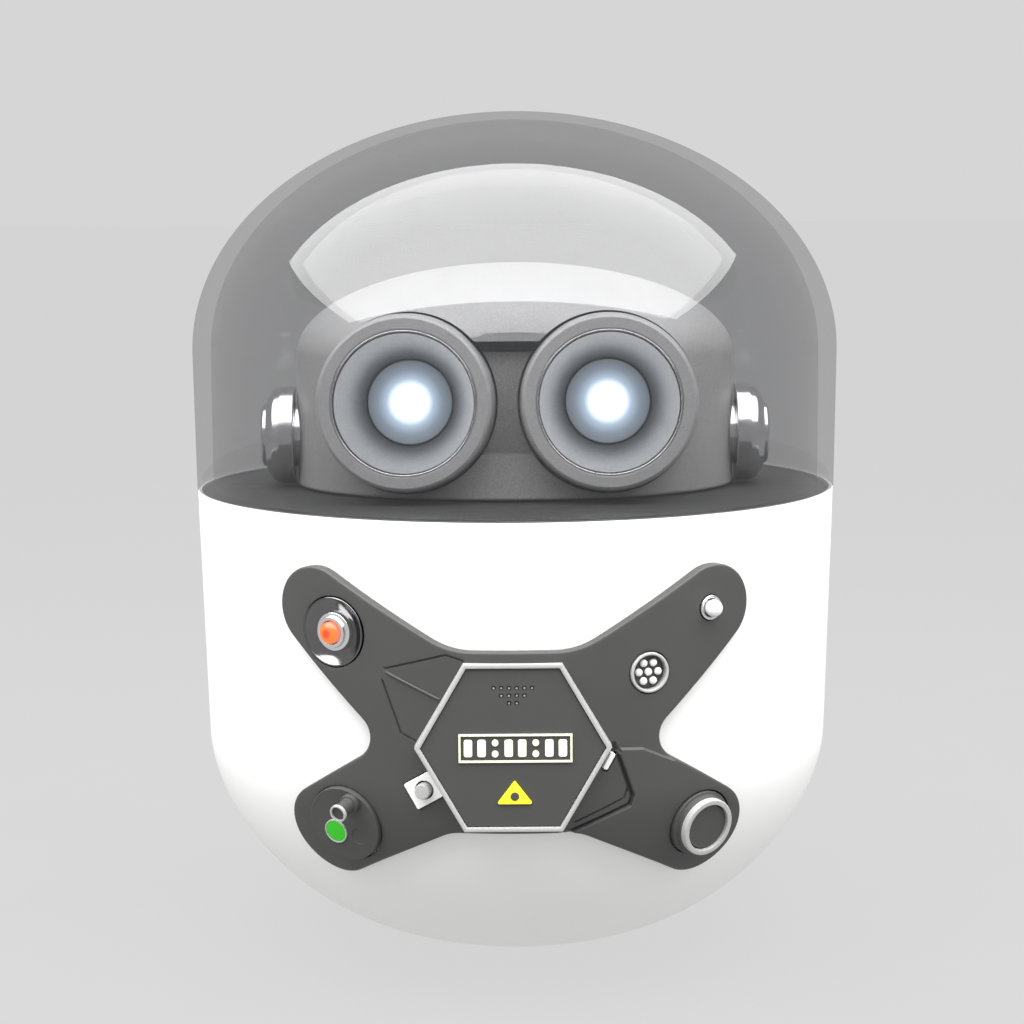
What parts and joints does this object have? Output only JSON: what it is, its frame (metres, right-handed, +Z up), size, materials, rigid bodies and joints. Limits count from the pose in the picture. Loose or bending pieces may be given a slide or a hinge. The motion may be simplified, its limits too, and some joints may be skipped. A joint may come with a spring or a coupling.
{
  "type": "educational coding robot",
  "caption": "Egg-shaped desktop coding robot on hidden drive wheels, with an X-shaped control plate and a panning two-eyed head under a smoky clear dome.",
  "frame": {"origin": "middle of the footprint, at the level of the surface the robot stands on", "axes": "+Z up through the top of the dome; the robot faces -Y, and +X is to the right of someone looking at its face"},
  "size_m": [0.16, 0.1622, 0.2069],
  "materials": {
    "white_shell": "smooth semi-gloss moulded plastic",
    "smoked_dome": "polished clear plastic with a light smoky tint",
    "dark_plate": "fine satin moulded plastic",
    "deck_grey": "fine grained matt plastic",
    "head_grey": "satin grey plastic with a fine metallic fleck",
    "barrel_grey": "satin grey paint",
    "light_trim": "satin light grey",
    "white_trim": "glossy white",
    "chrome": "polished",
    "brushed": "turned with fine circular brushing",
    "steel": "plain machined",
    "bronze": "sintered bronze",
    "rubber": "matt moulded rubber",
    "board": "solder mask with black chips",
    "battery_wrap": "cells in a satin shrink wrap",
    "eye_glow": "frosted diffuser lit from behind by a white lamp",
    "orange_glow": "lit orange lamp",
    "green_glow": "lit green lamp",
    "cream": "enamel",
    "yellow": "enamel"
  },
  "bodies": {
    "casing": {"front_shell": "white_shell", "rear_shell": "white_shell", "base_plate": "white_shell", "dome": "smoked_dome", "deck_plate": "deck_grey", "x_plate": "dark_plate", "hex_frame": "light_trim", "hex_panel": "dark_plate", "name_badge": "cream", "triangle_sign": "yellow", "lamp_cup": "chrome", "lamp_led": "orange_glow", "status_ring": "chrome", "status_led": "white_trim", "contact_ring": "chrome", "contact_block": "chrome", "latch_tab": "white_trim", "marker_chip": "white_trim", "button_collar": "dark_plate", "button_ring": "light_trim", "left_gearmotor": "steel", "right_gearmotor": "steel", "front_caster_cup": "white_shell", "rear_caster_cup": "white_shell", "chassis_tray": "deck_grey", "main_board": "board", "battery_pack": "battery_wrap", "speaker": "steel", "pan_servo": "deck_grey", "pan_bearing": "bronze", "charge_port": "steel", "base_screw_1": "steel", "base_screw_2": "steel", "base_screw_3": "steel", "base_screw_4": "steel"},
    "left_wheel_body": {"left_wheel": "light_trim", "left_tyre": "rubber", "left_axle": "steel"},
    "right_wheel_body": {"right_wheel": "light_trim", "right_tyre": "rubber", "right_axle": "steel"},
    "front_ball": {"front_caster_ball": "steel"},
    "rear_ball": {"rear_caster_ball": "steel"},
    "head": {"head_shell": "head_grey", "head_floor": "deck_grey", "left_eye_barrel": "barrel_grey", "right_eye_barrel": "barrel_grey", "left_reflector": "brushed", "right_reflector": "brushed", "left_eye_lamp": "eye_glow", "right_eye_lamp": "eye_glow", "left_ear": "chrome", "right_ear": "chrome", "pan_shaft": "steel", "servo_horn": "white_trim"},
    "dial": {"mode_dial": "dark_plate", "dial_pin": "white_trim", "dial_lamp": "green_glow"},
    "power_cap": {"power_button": "dark_plate"},
    "latch_pin": {"latch_button": "light_trim"}
  },
  "joints": [
    {"name": "left_wheel_spin", "type": "hinge", "parent": "casing", "child": "left_wheel_body", "pos_m": [-0.017, 0, 0.017], "axis": [1, 0, 0], "continuous": true},
    {"name": "right_wheel_spin", "type": "hinge", "parent": "casing", "child": "right_wheel_body", "pos_m": [0.017, 0, 0.017], "axis": [1, 0, 0], "continuous": true},
    {"name": "front_ball_roll", "type": "hinge", "parent": "casing", "child": "front_ball", "pos_m": [0, -0.018, 0.004], "axis": [1, 0, 0], "continuous": true},
    {"name": "rear_ball_roll", "type": "hinge", "parent": "casing", "child": "rear_ball", "pos_m": [0, 0.018, 0.004], "axis": [1, 0, 0], "continuous": true},
    {"name": "head_pan", "type": "hinge", "parent": "casing", "child": "head", "pos_m": [0, 0, 0.1143], "axis": [0, 0, 1], "range_deg": [-60, 60]},
    {"name": "mode_dial_turn", "type": "hinge", "parent": "casing", "child": "dial", "pos_m": [-0.03806, -0.06592, 0.045], "axis": [-0.4851, -0.8403, -0.2419], "range_deg": [-150, 150]},
    {"name": "power_button_press", "type": "slide", "parent": "casing", "child": "power_cap", "axis": [-0.561, 0.8013, 0.2079], "range_m": [0, 0.0015], "stiffness_N_per_m": 300},
    {"name": "latch_button_press", "type": "slide", "parent": "casing", "child": "latch_pin", "axis": [0.2587, 0.9655, 0.0297], "range_m": [0, 0.0009], "stiffness_N_per_m": 300}
  ]
}
